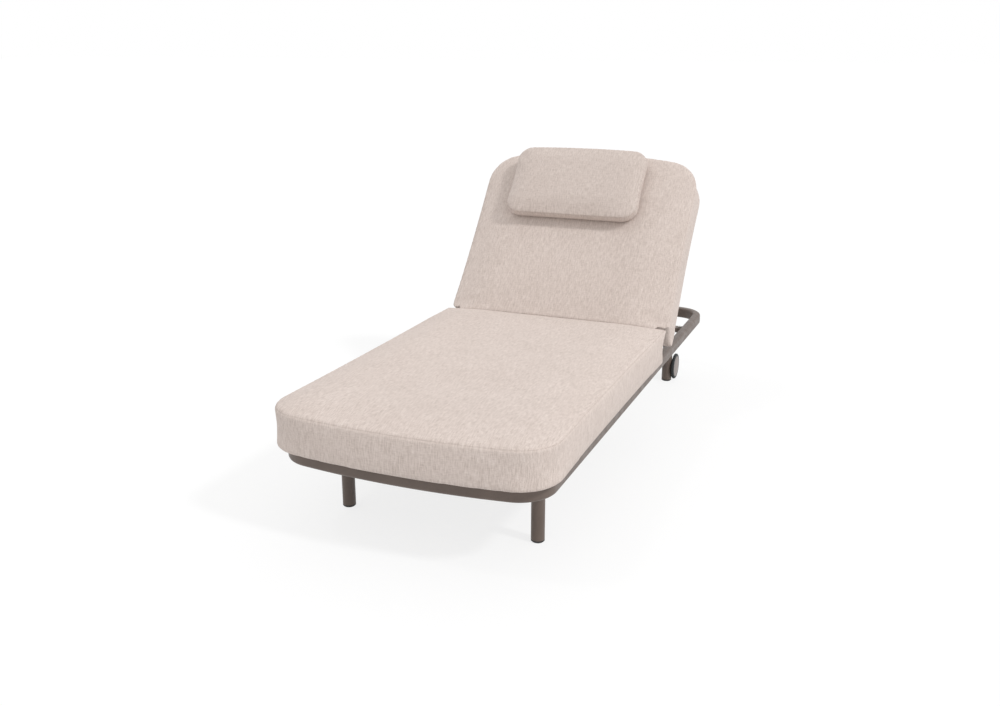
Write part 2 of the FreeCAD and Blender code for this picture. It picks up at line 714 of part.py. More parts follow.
def make_core(side, sign):
    """Wheel disc with a rim, open towards its cap."""
    rim = "<wheel_diameter> / 2 - <tyre_depth>"
    hole = "<axle_diameter> / 2 + <running_clearance>"
    return turned(f"{side}_wheel_core", "H_Axis", [
        ("0", hole),
        ("0", rim),
        (f"{sign} * <wheel_width>", rim),
        (f"{sign} * <wheel_width>", "<cap_diameter> / 2"),
        (f"{sign} * <web_thickness>", "<cap_diameter> / 2"),
        (f"{sign} * <web_thickness>", hole),
    ])


def make_tyre(side, sign):
    inner = "<wheel_diameter> / 2 - <tyre_depth>"
    return turned(f"{side}_wheel_tyre", "H_Axis", [
        ("0", inner),
        ("0", "<wheel_diameter> / 2 - <tyre_crown>"),
        (f"{sign} * <wheel_width> / 4", "<wheel_diameter> / 2"),
        (f"{sign} * <wheel_width> * 3 / 4", "<wheel_diameter> / 2"),
        (f"{sign} * <wheel_width>", "<wheel_diameter> / 2 - <tyre_crown>"),
        (f"{sign} * <wheel_width>", inner),
    ])


def make_cap(side, sign):
    """Domed cover pressed into the open side of the wheel."""
    edge = "<cap_diameter> / 2 - <running_clearance>"
    inner = f"{sign} * (<wheel_width> - <cap_thickness>)"
    return turned(f"{side}_wheel_cap", "H_Axis", [
        (inner, "0"),
        (inner, edge),
        (f"{sign} * <wheel_width>", edge),
        (f"{sign} * (<wheel_width> + <cap_dome>)", "<cap_flat_diameter> / 2"),
        (f"{sign} * (<wheel_width> + <cap_dome>)", "0"),
    ])


def make_axle(side, sign):
    """Bolt from inside the wheel, through it and the bracket, with a nut behind the bracket."""
    radius = "<axle_diameter> / 2"
    head = "<axle_head_diameter> / 2"
    web = "(<wheel_side_gap> + <web_thickness> + <wheel_side_gap> / 2)"
    back = f"{-sign} * <wheel_bracket_thickness>"
    nut = f"{-sign} * (<wheel_bracket_thickness> + <axle_nut_height>)"
    return turned(f"{side}_wheel_axle", "H_Axis", [
        (nut, "0"),
        (nut, "<axle_head_diameter> / 2 - <wheel_side_gap>"),
        (back, "<axle_head_diameter> / 2 - <wheel_side_gap>"),
        (back, radius),
        (f"{sign} * {web}", radius),
        (f"{sign} * {web}", head),
        (f"{sign} * ({web} + <axle_head_height>)", head),
        (f"{sign} * ({web} + <axle_head_height>)", "0"),
    ])


def make_bracket(side, inner_face, sign, along, height):
    """Plate on the back of a rear leg, hollowed to the leg's round."""
    plate = padded(f"{side}_wheel_plate", "YZ_Plane", "<wheel_bracket_thickness>", draw_rounded_box,
                   "<wheel_behind_leg> + <wheel_bracket_reach>", "<wheel_bracket_height>", "<axle_diameter>")
    offset = "(<wheel_behind_leg> - <wheel_bracket_reach>) / 2"
    axle_hole = "<axle_diameter> + 2 * <running_clearance>"
    bore(plate, "YZ_Plane", axle_hole, "2 * <wheel_bracket_thickness>", offset)
    middle = inner_face + sign * size("wheel_bracket_thickness") / 2
    plate.Placement = at(middle, along - value(offset), height)
    leg = doc.addObject("Part::Cylinder", f"{side}_leg_round")
    leg.setExpression("Radius", formula("<leg_diameter> / 2 + <running_clearance>"))
    leg.setExpression("Height", formula("<rail_underside>"))
    leg.Placement = at(sign * value(LEG_ACROSS), along - size("wheel_behind_leg"), 0)
    bracket = doc.addObject("Part::Cut", f"{side}_wheel_bracket")
    bracket.Base = plate
    bracket.Tool = leg
    return bracket


# Cushions: crowned forms with rounded bottoms and drawn-in sides

def cushion_outline(base_half, head_half, base_y, head_y, base_corner, head_corner, bow, draw_in, z):
    """Plan of a cushion at one height: square at its base end, bowed with large corners at its head end."""
    bow_y = head_y - bow
    corner_x = head_half - head_corner
    corner_y = bow_y + math.sqrt((bow - head_corner) ** 2 - corner_x ** 2)
    lean = math.atan2(corner_y - bow_y, corner_x)
    base_x = base_half - base_corner
    side_mid = Vector((base_half + head_half) / 2 - draw_in, (base_y + base_corner + corner_y) / 2, z)

    def around(x, y, radius, angle):
        return Vector(x + radius * math.cos(angle), y + radius * math.sin(angle), z)

    def mirrored(point):
        return Vector(-point.x, point.y, point.z)

    base_end = Vector(base_x, base_y, z)
    side_start = Vector(base_half, base_y + base_corner, z)
    base_mid = around(base_x, base_y + base_corner, base_corner, -math.pi / 4)
    side_end = Vector(head_half, corner_y, z)
    corner_mid = around(corner_x, corner_y, head_corner, lean / 2)
    bow_start = around(0, bow_y, bow, lean)
    apex = Vector(0, head_y, z)
    edges = [
        Part.Arc(base_end, base_mid, side_start).toShape(),
        Part.Arc(side_start, side_mid, side_end).toShape(),
        Part.Arc(side_end, corner_mid, bow_start).toShape(),
        Part.Arc(bow_start, apex, mirrored(bow_start)).toShape(),
        Part.Arc(mirrored(bow_start), mirrored(corner_mid), mirrored(side_end)).toShape(),
        Part.Arc(mirrored(side_end), mirrored(side_mid), mirrored(side_start)).toShape(),
        Part.Arc(mirrored(side_start), mirrored(base_mid), mirrored(base_end)).toShape(),
        Part.LineSegment(mirrored(base_end), base_end).toShape(),
    ]
    return Part.Wire(edges)


def cushion_levels(height, bottom_round, crown, reach):
    """Height and inset of each plan: a quarter round at the bottom, a long flat crown on top."""
    seam = height - crown
    levels = []
    for step in ROUND_STEPS:
        angle = math.radians(step)
        levels.append((bottom_round * (1 - math.cos(angle)), bottom_round * (1 - math.sin(angle))))
    for step in ROUND_STEPS:
        angle = math.radians(step)
        levels.append((seam + crown * math.sin(angle), reach * (1 - math.cos(angle))))
    return levels


def seat_ends(levels):
    """Where each plan of the seat starts: its end slants, so that the seat is shorter at the bottom."""
    height = size("cushion_height")
    return [inset + size("cushion_end_slant") * (height - z) / height for z, inset in levels]


def back_ends(levels, start):
    """Where each plan of the back starts: it slants with the seat's end and swings clear of the rails."""
    height = size("cushion_height")
    ends = []
    for z, inset in levels:
        depth = height - z
        slant = inset - size("cushion_end_slant") * depth / height
        swing = -start - math.sqrt(height ** 2 - depth ** 2)
        ends.append(max(slant, swing))
    return ends


def make_cushion(label, levels, ends, base_half, head_half, length, base_corner, head_corner, bow, draw_in):
    """Loft through the plans of a cushion that lies with its base end at the origin."""
    plans = []
    deepest = max(inset for z, inset in levels)
    for (z, inset), end in zip(levels, ends):
        tighter = 1 - inset / deepest / 2
        plans.append(cushion_outline(base_half - inset, head_half - inset, end, length - inset,
                                     base_corner * tighter, head_corner * tighter, bow - inset, draw_in, z))
    cushion = doc.addObject("Part::Feature", label)
    cushion.Shape = Part.makeLoft(plans, True, True)
    return cushion


def make_cushions():
    half = value("<frame_width> / 2 + <cushion_overhang>")
    levels = cushion_levels(size("cushion_height"), size("cushion_bottom_round"),
                            size("cushion_crown"), size("cushion_crown_reach"))
    bow = value("<bow_radius> + <front_overhang>")
    seat_length = value(f"<frame_length> / 2 + <front_overhang> + {SEAT_END}")
    end_corner = size("cushion_end_corner")
    draw_in = size("cushion_draw_in")
    seat = make_cushion("seat_cushion", levels, seat_ends(levels), half, half, seat_length,
                        end_corner, size("cushion_front_corner"), bow, draw_in)
    seat_end = FRAME_MIDDLE + value(SEAT_END)
    keep("seat_cushion", seat, at(0, seat_end, CUSHION_BOTTOM, Rotation(Z_AXIS, 180)))
    back_start = seat_end + size("cushion_end_gap") - CREASE.y
    head_half = half - size("back_cushion_taper")
    back_length = size("back_cushion_length")
    back = make_cushion("back_cushion", levels, back_ends(levels, back_start), half, head_half, back_length,
                        end_corner, size("back_cushion_corner"), bow, draw_in)
    keep("back_cushion", back, CUSHION_POSE * at(0, back_start, CUSHION_BOTTOM - CREASE.z))
    make_pillow(back_start + back_length)


def make_pillow(back_top):
    """Head pillow on the back cushion, kept there by hook-and-loop tapes."""
    half = size("pillow_width") / 2
    levels = cushion_levels(size("pillow_height"), size("pillow_bottom_round"),
                            size("pillow_crown"), size("pillow_crown_reach"))
    ends = [inset for z, inset in levels]
    length = size("pillow_length")
    corner = size("pillow_corner")
    pillow = make_cushion("head_pillow", levels, ends, half, half, length, corner, corner,
                          size("pillow_bow_radius"), size("pillow_draw_in"))
    x = size("pillow_offset")
    top = back_top - size("pillow_top_inset")
    loop_z = size("seat_clearance") + size("tape_thickness") / 2
    hook_z = loop_z + size("tape_thickness") + size("seat_clearance")
    pillow_z = hook_z + size("tape_thickness") / 2 + size("seat_clearance")
    keep("head_pillow", pillow, CUSHION_POSE * at(x, top - length, pillow_z))
    tape_end = back_top - size("tape_top_inset")
    for label, tape_length, z in (
        ("back_loop_tapes", "<loop_tape_length>", loop_z),
        ("pillow_hook_tapes", "<hook_tape_length>", hook_z),
    ):
        tapes = []
        for sign in SIDES.values():
            tape = padded("tape", "XY_Plane", "<tape_thickness>", draw_rounded_box,
                          "<tape_width>", tape_length, "<tape_thickness>")
            middle = x + sign * size("tape_spacing") / 2
            tape.Placement = CUSHION_POSE * at(middle, tape_end - value(tape_length) / 2, z)
            tapes.append(tape)
        keep(label, group(label, tapes))


def check_document():
    """Stop before anything is written if a piece failed to build."""
    for item in doc.Objects:
        if "Invalid" in item.State or "Error" in item.State:
            raise ValueError(f"{item.Label} failed: {item.State}")
    for label, piece in parts.items():
        if piece.Shape.isNull() or not piece.Shape.isValid():
            raise ValueError(f"{label} has no valid shape")


make_rails()
make_crossmembers()
make_legs()
make_seat_deck()
make_back_frame()
make_pivots()
make_prop()
make_racks()
make_wheels()
make_cushions()
doc.recompute()
check_document()
os.makedirs("parts", exist_ok=True)
for label, piece in parts.items():
    piece.Shape.exportStep(f"parts/{label}.step")
print(f"{len(parts)} sub-parts, pivot {PIVOT}, crease {CREASE}, prop hinge {PROP_HINGE}")
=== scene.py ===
import json
import math

import bmesh
import bpy
import numpy as np
from mathutils import Matrix, Vector


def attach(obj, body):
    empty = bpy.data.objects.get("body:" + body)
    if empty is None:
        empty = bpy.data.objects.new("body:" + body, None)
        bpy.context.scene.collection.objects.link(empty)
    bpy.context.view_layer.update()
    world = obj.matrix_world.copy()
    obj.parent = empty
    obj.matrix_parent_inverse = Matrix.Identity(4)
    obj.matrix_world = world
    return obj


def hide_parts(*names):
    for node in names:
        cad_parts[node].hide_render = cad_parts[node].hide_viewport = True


# Looks of a sun lounger: padded fabric cushions on a powder-coated frame, in a white studio. Metres.

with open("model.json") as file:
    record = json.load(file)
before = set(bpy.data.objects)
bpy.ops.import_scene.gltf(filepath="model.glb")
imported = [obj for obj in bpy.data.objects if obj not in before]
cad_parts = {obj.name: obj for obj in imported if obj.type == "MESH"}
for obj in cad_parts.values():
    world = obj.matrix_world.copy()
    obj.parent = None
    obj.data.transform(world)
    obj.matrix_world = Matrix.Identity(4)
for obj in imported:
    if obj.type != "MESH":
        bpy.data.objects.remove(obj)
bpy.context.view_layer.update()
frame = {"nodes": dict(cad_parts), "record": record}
nodes = frame["nodes"]
scene = bpy.context.scene

# Where the cushions lie: the seat on the rails, the back and the pillow on a plane that tilts about the crease

THICKNESS = 0.140
TILT = Matrix.Rotation(math.radians(51), 4, "X")
CREASE = Matrix.Translation((0, 0.235, 0.3893))
SEAT_PLACE = Matrix.Translation((0, 0.223, 0.2493)) @ Matrix.Rotation(math.pi, 4, "Z")
BACK_START = -0.010
BACK_PLACE = CREASE @ TILT @ Matrix.Translation((0, BACK_START, -THICKNESS))
PILLOW_PLACE = CREASE @ TILT @ Matrix.Translation((-0.027, 0.356, 0.0039))
END_SLANT = 0.042
BACK_LIP = 0.046
LIP_DEPTH = 0.022

# Cushion forms. Each runs from a square base end to a bowed head end.
# Plan: half widths and corner radii at both ends, length, radius of the bow, draw-in of the sides.
# Section: height, crown above the seam, how far in from the sides and the base end the crown is full
# (reach, end_reach), lower edge (bottom_round), hollow in the base end's wall (end_room).
# Corners get tighter as the plan is drawn in (tighten). corner_ease and crease_fill are shares of the
# functions with those names. voxel is the grain of the mesh, cap the most that the cover swells, and
# dye how much of the cloth's colour is left, as it differs between cut pieces.

SEAT = {
    "base_half": 0.408, "head_half": 0.408, "length": 1.223, "base_corner": 0.008, "head_corner": 0.115,
    "bow": 2.170, "draw_in": 0.004, "height": THICKNESS, "crown": 0.028, "reach": 0.130, "end_reach": 0.130,
    "bottom_round": 0.008, "end_room": 0.006, "tighten": 0.5, "corner_ease": 0.75, "crease_fill": 0.0,
    "voxel": 0.007, "cap": 0.008, "dye": 1.0,
}
BACK = {
    **SEAT,
    "head_half": 0.403, "length": 0.677, "head_corner": 0.120, "end_reach": 0.006,
    "corner_ease": 0.0, "crease_fill": 1.0,
}
PILLOW = {
    "base_half": 0.250, "head_half": 0.250, "length": 0.290, "base_corner": 0.055, "head_corner": 0.055,
    "bow": 4.000, "draw_in": 0.003, "height": 0.058, "crown": 0.024, "reach": 0.070, "end_reach": 0.070,
    "bottom_round": 0.016, "end_room": 0.0, "tighten": 0.25, "corner_ease": 0.0, "crease_fill": 0.0,
    "voxel": 0.005, "cap": 0.006, "dye": 0.95,
}


def seat_end(inset, depth):
    """Where the seat starts at a depth below its top: its end slants forwards."""
    return inset + END_SLANT * depth / SEAT["height"]


def back_end(inset, depth):
    """Where the back starts at a depth below its top.

    A lip fills the hollow above the seat's end. Below it the end slants with the seat's, and swings
    clear of the rails.
    """
    lip = BACK_LIP * max(1 - depth / LIP_DEPTH, 0)
    swing = math.sqrt(max(BACK["height"] ** 2 - depth ** 2, 0))
    return max(inset - lip - END_SLANT * depth / BACK["height"], -BACK_START - swing)


def pillow_end(inset, depth):
    """Where the pillow starts, the same at every depth."""
    return inset


# How a cushion is built up

SIDE_POINTS = 60
BASE_CORNER_POINTS = 8
HEAD_CORNER_POINTS = 14
BOW_POINTS = 30
ROUND_STEPS = 7
WALL_STEPS = 8


def seam_height(form):
    return form["height"] - form["crown"]


def smooth(share):
    """A share from 0 to 1, eased at both ends."""
    return share * share * (3 - 2 * share)


def arc(x, y, radius, start, end, count):
    turn = np.linspace(start, end, count, endpoint=False)
    return np.stack([x + radius * np.cos(turn), y + radius * np.sin(turn)], 1)


def outline(form, inset, end):
    """Plan of a cushion drawn in by inset, from its base end at y = end to its head end."""
    tighter = 1 - inset / form["reach"] * form["tighten"]
    base_half = form["base_half"] - inset
    head_half = form["head_half"] - inset
    base_corner = form["base_corner"] * tighter
    head_corner = form["head_corner"] * tighter
    bow = form["bow"] - inset
    bow_y = form["length"] - inset - bow
    corner_x = head_half - head_corner
    corner_y = bow_y + math.sqrt((bow - head_corner) ** 2 - corner_x ** 2)
    lean = math.atan2(corner_y - bow_y, corner_x)
    along = np.linspace(0, 1, SIDE_POINTS, endpoint=False)[:, None]
    base_x = base_half - base_corner
    base_along = along[::2] * base_x
    base = np.hstack([base_along, np.full_like(base_along, end)])
    side_start = np.array([base_half, end + base_corner])
    side_end = np.array([head_half, corner_y])
    side = side_start + (side_end - side_start) * along
    side[:, :1] -= form["draw_in"] * 4 * along * (1 - along)
    right = np.vstack([
        base,
        arc(base_x, end + base_corner, base_corner, -math.pi / 2, 0, BASE_CORNER_POINTS),
        side,
        arc(corner_x, corner_y, head_corner, 0, lean, HEAD_CORNER_POINTS),
        arc(0, bow_y, bow, lean, math.pi / 2, BOW_POINTS),
        [[0, form["length"] - inset]],
    ])
    left = right[-2:0:-1] * [-1, 1]
    return np.vstack([right, left])


def levels(form, belly, crown):
    """Height, inset and base-end inset of each plan, from the underside over the boxing to the crown."""
    seam = seam_height(form)
    low = form["bottom_round"]
    turns = np.radians(np.linspace(0, 90, ROUND_STEPS))
    rows = []
    for turn in turns:
        inset = low * (1 - math.sin(turn))
        rows.append((low * (1 - math.cos(turn)), inset, inset))
    for share in np.linspace(0, 1, WALL_STEPS)[1:-1]:
        arch = math.sin(math.pi * share)
        hollow = form["end_room"] * math.sqrt(arch)
        rows.append((low + (seam - low) * share, -belly * arch, hollow - belly * arch))
    for turn in turns:
        inset = 1 - math.cos(turn)
        rows.append((seam + crown * math.sin(turn), form["reach"] * inset, form["end_reach"] * inset))
    return rows


def shell(name, form, end_at, belly, crown):
    """Closed mesh through the plans of a cushion."""
    made = bmesh.new()
    rings = []
    for z, inset, end_inset in levels(form, belly, crown):
        end = end_at(end_inset, form["height"] - z)
        rings.append([made.verts.new((x, y, z)) for x, y in outline(form, inset, end)])
    for low, high in zip(rings, rings[1:]):
        for index in range(len(low)):
            after = (index + 1) % len(low)
            made.faces.new((low[index], low[after], high[after], high[index]))
    made.faces.new(rings[0][::-1])
    made.faces.new(rings[-1])
    mesh = bpy.data.meshes.new(name)
    made.to_mesh(mesh)
    made.free()
    piece = bpy.data.objects.new(name, mesh)
    scene.collection.objects.link(piece)
    return piece


def settle(piece):
    """Turn what a piece's modifiers make of it into its own mesh."""
    seen = piece.evaluated_get(bpy.context.evaluated_depsgraph_get())
    mesh = bpy.data.meshes.new_from_object(seen)
    piece.modifiers.clear()
    piece.data = mesh


def points(mesh):
    flat = np.empty(len(mesh.vertices) * 3, np.float32)
    mesh.vertices.foreach_get("co", flat)
    return flat.reshape(-1, 3).astype(float)


def place_points(mesh, co):
    mesh.vertices.foreach_set("co", co.astype(np.float32).ravel())
    mesh.update()


def evened(mesh, field, rounds):
    """A field on the vertices, averaged with their neighbours a few times over."""
    edges = np.empty(len(mesh.edges) * 2, np.int64)
    mesh.edges.foreach_get("vertices", edges)
    a, b = edges.reshape(-1, 2).T
    count = np.bincount(edges, minlength=len(field))[:, None]
    for _ in range(rounds):
        total = np.zeros_like(field)
        np.add.at(total, a, field[b])
        np.add.at(total, b, field[a])
        field = (field + total / count) / 2
    return field


# Swelling: the cover is shaped slack, then blown up by no more than the form's cap

BELLY = 0.002
SIDE_SLACK = 0.6
PRESSURE = 4
BENDING = 4
SWELL_FRAMES = 20
EVEN_ROUNDS = 6
HELD_BOTTOM = 0.003
HELD_SEAM = 0.004


def swell(piece, seam, cap):
    """Blow a cushion up against its sewn seam and the flat underside that it rests on."""
    before = points(piece.data)
    held = (before[:, 2] < HELD_BOTTOM) | (np.abs(before[:, 2] - seam) < HELD_SEAM)
    group = piece.vertex_groups.new(name="held")
    group.add([int(index) for index in np.flatnonzero(held)], 1.0, "REPLACE")
    cloth = piece.modifiers.new("swell", "CLOTH")
    cloth.settings.use_pressure = True
    cloth.settings.uniform_pressure_force = PRESSURE
    cloth.settings.bending_stiffness = BENDING
    cloth.settings.effector_weights.gravity = 0
    cloth.settings.vertex_group_mass = "held"
    cloth.point_cache.frame_start = 1
    cloth.point_cache.frame_end = SWELL_FRAMES
    for step in range(1, SWELL_FRAMES + 1):
        scene.frame_set(step)
    settle(piece)
    moved = points(piece.data) - before
    far = np.maximum(np.linalg.norm(moved, axis=1, keepdims=True), 1e-9)
    moved *= cap * np.tanh(far / cap) / far
    place_points(piece.data, before + evened(piece.data, moved, EVEN_ROUNDS))
    scene.frame_set(1)


# Lip in the crease: it is pressed out and up over a run at the base end, above the seam. Near the sides,
# where the crown is low, it starts lower and goes further out.

FILL_START = 0.010
FILL_RUN = 0.026
FILL_OVER_SEAM = 0.006
FILL_FADE = 0.010
FILL_OUT = 0.0115
FILL_UP = 0.0095
FILL_CORNERS = 0.018
LEAST_INSET = 0.02
RISE_START = 0.2
RISE_RUN = 0.6
LEAST_RISE = 0.1


def fill_crease(mesh, form, seam):
    """Press the lip at the base end out towards the seat, where the pull of the cover has rounded it off."""
    co = points(mesh)
    near = np.clip((FILL_START - co[:, 1]) / FILL_RUN, 0, 1) * form["crease_fill"]
    inset = np.clip((form["base_half"] - np.abs(co[:, 0])) / form["reach"], LEAST_INSET, 1)
    rise = np.clip((np.sqrt(1 - (1 - inset) ** 2) - RISE_START) / RISE_RUN, LEAST_RISE, 1)
    above = np.clip((co[:, 2] - seam - FILL_OVER_SEAM * rise) / (FILL_FADE * rise), 0, 1)
    share = smooth(above)
    co[:, 1] -= (FILL_OUT + FILL_CORNERS * (1 - rise) ** 2) * near * share
    co[:, 2] += FILL_UP * near * near * share
    place_points(mesh, co)


EASE_ASIDE = 0.170
EASE_ALONG = 0.200


def ease_corners(mesh, form, seam):
    """Let the crown sink towards the two corners at the base end, where the cover is pulled over the foam."""
    co = points(mesh)
    aside = np.clip((np.abs(co[:, 0]) - form["base_half"]) / EASE_ASIDE + 1, 0, 1)
    near = np.clip(1 - co[:, 1] / EASE_ALONG, 0, 1)
    above = np.maximum(co[:, 2] - seam, 0)
    co[:, 2] -= above * smooth(aside) * smooth(near) * form["corner_ease"]
    place_points(mesh, co)


# Seam: a groove along it, and a pucker in waves that wander a little. Waves are in radians per metre.

SEAM_PULL = 0.0018
SEAM_WIDTH = 0.0032
PUCKER = 0.0005
PUCKER_WIDTH = 0.010
WAVES_ACROSS = 310
WAVES_ALONG = 290
WANDER_ACROSS = 53
WANDER_ALONG = 47


def sew(mesh, seam):
    """Draw the cover in along the seam, with the slight pucker that stitches leave."""
    co = points(mesh)
    normal = np.empty(len(mesh.vertices) * 3, np.float32)
    mesh.vertex_normals.foreach_get("vector", normal)
    across, along, off = co[:, 0], co[:, 1], co[:, 2] - seam
    pull = SEAM_PULL * np.exp(-(off / SEAM_WIDTH) ** 2)
    pucker = np.sin(across * WAVES_ACROSS + 2 * np.sin(along * WANDER_ALONG))
    pucker *= np.sin(along * WAVES_ALONG + 2 * np.sin(across * WANDER_ACROSS))
    pull += PUCKER * pucker * np.exp(-(off / PUCKER_WIDTH) ** 2)
    place_points(mesh, co - normal.reshape(-1, 3) * pull[:, None])


def cushion(name, form, end_at, place):
    """A padded cushion: swollen form, then one subdivision, then the sewn seam round its top panel."""
    seam = seam_height(form)
    slack = form["cap"]
    piece = shell(name, form, end_at, belly=BELLY - slack * SIDE_SLACK, crown=form["crown"] - slack)
    remesh = piece.modifiers.new("remesh", "REMESH")
    remesh.mode = "VOXEL"
    remesh.voxel_size = form["voxel"]
    settle(piece)
    swell(piece, seam, form["cap"])
    fill_crease(piece.data, form, seam)
    fine = piece.modifiers.new("fine", "SUBSURF")
    fine.levels = 1
    settle(piece)
    ease_corners(piece.data, form, seam)
    sew(piece.data, seam)
    piece.data.polygons.foreach_set("use_smooth", [True] * len(piece.data.polygons))
    piece.matrix_world = place
    return piece


# Materials

class Surface:
    """A Principled material, with short calls for the nodes behind its colour, roughness and bump."""

    def __init__(self, name, **constants):
        self.material = bpy.data.materials.new(name)
        self.material.use_nodes = True
        self.tree = self.material.node_tree
        self.shader = self.tree.nodes["Principled BSDF"]
        self.place = self.tree.nodes.new("ShaderNodeTexCoord")
        for socket, number in constants.items():
            self.shader.inputs[socket.replace("_", " ")].default_value = number

    def feed(self, socket, source):
        if isinstance(source, bpy.types.NodeSocket):
            self.tree.links.new(source, socket)
        elif source is not None:
            socket.default_value = source

    def add(self, kind, *sources, **settings):
        made = self.tree.nodes.new(kind)
        for key, setting in settings.items():
            setattr(made, key, setting)
        for socket, source in zip(made.inputs, sources):
            self.feed(socket, source)
        return made.outputs[0]

    def math(self, operation, *sources):
        return self.add("ShaderNodeMath", *sources, operation=operation)

    def weighed(self, first, first_weight, second, second_weight):
        """Sum of two numbers, each times its weight."""
        return self.math("ADD", self.math("MULTIPLY", first, first_weight),
                         self.math("MULTIPLY", second, second_weight))

    def noise(self, scale, detail=2.0, roughness=0.5):
        """Noise in the piece's own coordinates: scale is in cells per metre, for each axis or for all."""
        place = self.place.outputs["Object"]
        if isinstance(scale, tuple):
            place = self.add("ShaderNodeVectorMath", place, scale, operation="MULTIPLY")
            scale = 1.0
        return self.add("ShaderNodeTexNoise", place, None, scale, detail, roughness)

    def blend(self, factor, first, second):
        made = self.tree.nodes.new("ShaderNodeMix")
        self.feed(made.inputs[0], factor)
        self.feed(made.inputs[2], first)
        self.feed(made.inputs[3], second)
        return made.outputs[0]

    def parts(self, vector):
        """The x, y and z of a vector."""
        made = self.tree.nodes.new("ShaderNodeSeparateXYZ")
        self.feed(made.inputs[0], vector)
        return made.outputs

    def span(self, source, low, high, start=0.0, end=1.0):
        """A number carried from the range start to end over to the range low to high."""
        return self.add("ShaderNodeMapRange", source, start, end, low, high)

    def colours(self, source, *stops):
        """Base colour from a ramp: each stop is a position and a colour."""
        made = self.tree.nodes.new("ShaderNodeValToRGB")
        elements = made.color_ramp.elements
        while len(elements) < len(stops):
            elements.new(0.5)
        for element, (position, colour) in zip(elements, stops):
            element.position = position
            element.color = (*colour, 1)
        self.feed(made.inputs[0], source)
        self.feed(self.shader.inputs["Base Color"], made.outputs[0])

    def rough(self, source, low, high):
        """Roughness from a noise, which mostly keeps to 0.3 to 0.7."""
        self.feed(self.shader.inputs["Roughness"], self.span(source, low, high, 0.3, 0.7))

    def bump(self, height, distance):
        made = self.tree.nodes.new("ShaderNodeBump")
        made.inputs["Distance"].default_value = distance
        self.feed(made.inputs["Height"], height)
        self.feed(self.shader.inputs["Normal"], made.outputs["Normal"])

    def weave(self, pitch):
        """Over and under of yarns, about 0 to 1, on faces that look any way."""
        scale = (2 * math.pi / pitch,) * 3
        x, y, z = self.parts(self.add("ShaderNodeVectorMath", self.place.outputs["Object"], scale,
                                      operation="MULTIPLY"))
        total = 0.0
        for a, b in ((x, y), (y, z), (z, x)):
            crossing = self.math("MULTIPLY", self.math("SINE", a), self.math("COSINE", b))
            total = self.math("ADD", crossing, total)
        return self.span(total, 0.0, 1.0, -1.5, 1.5)


DYES = (
    (0.0, (0.24, 0.18, 0.155)),
    (0.25, (0.49, 0.405, 0.36)),
    (0.50, (0.655, 0.562, 0.512)),
    (0.75, (0.79, 0.702, 0.652)),
)


def cushion_fabric(name, form):
    """Melange outdoor weave: lighter and darker yarn both ways, and painted shade in a thin line along the
    seam's groove.
    """
    cloth = Surface(name, Sheen_Weight=0.12, Sheen_Roughness=0.6, Specular_IOR_Level=0.2)
    facing = cloth.parts(cloth.place.outputs["Normal"])
    side = cloth.math("GREATER_THAN", cloth.math("ABSOLUTE", facing[0]), 0.7)
    warp = cloth.blend(side, cloth.noise((420, 55, 55), 3), cloth.noise((55, 420, 55), 3))
    weft = cloth.blend(side, cloth.noise((60, 480, 480), 3), cloth.noise((480, 60, 480), 3))
    yarns = cloth.weighed(warp, 0.62, weft, 0.38)
    lively = cloth.math("MULTIPLY_ADD", yarns, 1.15, -0.11)
    patches = cloth.noise(7, 2)
    tone = cloth.weighed(patches, 0.1, lively, 0.9)
    height = cloth.parts(cloth.place.outputs["Object"])[2]
    off = cloth.math("ABSOLUTE", cloth.math("SUBTRACT", height, seam_height(form)))
    # Painted shade: the cloth is darkened in a thin line along the seam, where its groove holds shade.
    sewn = cloth.span(off, 0.11, 0.0, 0.0005, 0.0016)
    shade = cloth.math("SUBTRACT", tone, sewn)
    cloth.colours(shade, *((at, tuple(part * form["dye"] for part in colour)) for at, colour in DYES))
    cloth.rough(tone, 0.82, 0.95)
    cloth.bump(cloth.weighed(cloth.weave(0.0022), 0.5, yarns, 0.8), 0.0007)
    return cloth.material


def powder_coat():
    """Taupe powder coat: a fine pebbled skin, slightly uneven in tone and gloss."""
    paint = Surface("powder_coat", Specular_IOR_Level=0.45)
    tone = paint.weighed(paint.noise(14, 3), 0.6, paint.noise(700, 2), 0.4)
    paint.colours(tone, (0.25, (0.106, 0.078, 0.064)), (0.75, (0.150, 0.112, 0.092)))
    paint.rough(paint.noise(40, 4), 0.34, 0.50)
    paint.bump(paint.noise(1100, 2), 0.00018)
    return paint.material


def moulded(name, dark, light, low, high):
    """Moulded plastic with a fine spark-eroded grain and rubbed patches."""
    plastic = Surface(name, Specular_IOR_Level=0.4)
    plastic.colours(plastic.noise(60, 5, 0.6), (0.3, dark), (0.7, light))
    plastic.rough(plastic.noise(30, 3), low, high)
    plastic.bump(plastic.noise(2200, 1), 0.0001)
    return plastic.material


def rubber():
    """Tyre rubber: nearly black, dusty in places, with fine moulding rings."""
    tyre = Surface("tyre_rubber", Specular_IOR_Level=0.35)
    tyre.colours(tyre.noise(90, 5, 0.65), (0.3, (0.018, 0.020, 0.021)), (0.75, (0.048, 0.052, 0.054)))
    tyre.rough(tyre.noise(50, 3), 0.62, 0.85)
    tyre.bump(tyre.noise((1800, 160, 160), 2), 0.00025)
    return tyre.material


def brushed_steel():
    """Stainless fasteners with fine turning marks."""
    steel = Surface("brushed_steel", Metallic=1.0)
    marks = steel.noise((2600, 120, 120), 3)
    steel.colours(marks, (0.3, (0.40, 0.39, 0.37)), (0.7, (0.58, 0.57, 0.55)))
    steel.rough(marks, 0.28, 0.46)
    steel.bump(marks, 0.00006)
    return steel.material


